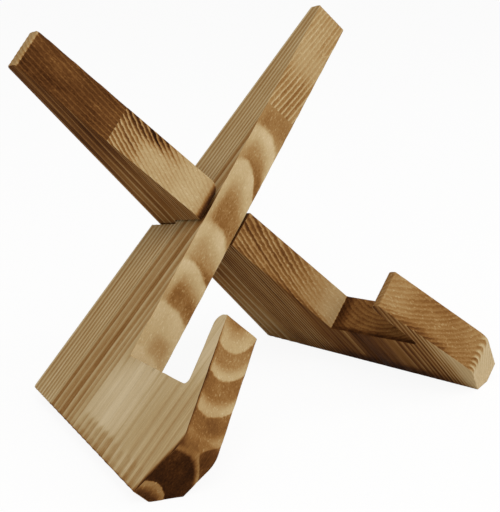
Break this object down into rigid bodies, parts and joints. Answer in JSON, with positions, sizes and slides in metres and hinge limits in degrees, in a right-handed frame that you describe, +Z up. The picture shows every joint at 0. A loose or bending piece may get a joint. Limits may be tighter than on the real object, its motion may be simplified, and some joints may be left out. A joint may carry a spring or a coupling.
{
  "type": "photo album stand",
  "caption": "Free-standing wooden album stand: crossed boards in a sliding lap joint, each with a leaning edge and a hooked channel that holds an open album.",
  "frame": {"origin": "middle of the stand's footprint box, on the table", "axes": "+Z up, +X to the right seen from the front, -Y to the front, where the album is put in"},
  "size_m": [0.2017, 0.1296, 0.1666],
  "materials": {
    "left_front_pine": "lightly torched and brushed pine, pale with brown flame figure",
    "left_back_pine": "torched and brushed pine, tan with straight stripes",
    "right_front_pine": "torched and brushed pine, golden brown with fine stripes",
    "right_back_pine": "deeply torched and brushed pine, chocolate brown with pale lines"
  },
  "bodies": {
    "right_board": {"right_back_stave": "right_back_pine", "right_front_stave_lower": "right_front_pine", "right_front_stave_upper": "right_front_pine"},
    "left_board": {"left_back_stave": "left_back_pine", "left_front_stave": "left_front_pine"}
  },
  "joints": [
    {"name": "lap_slide", "type": "slide", "parent": "right_board", "child": "left_board", "axis": [0, -0.9778, 0.2096], "range_m": [0, 0.045]}
  ]
}
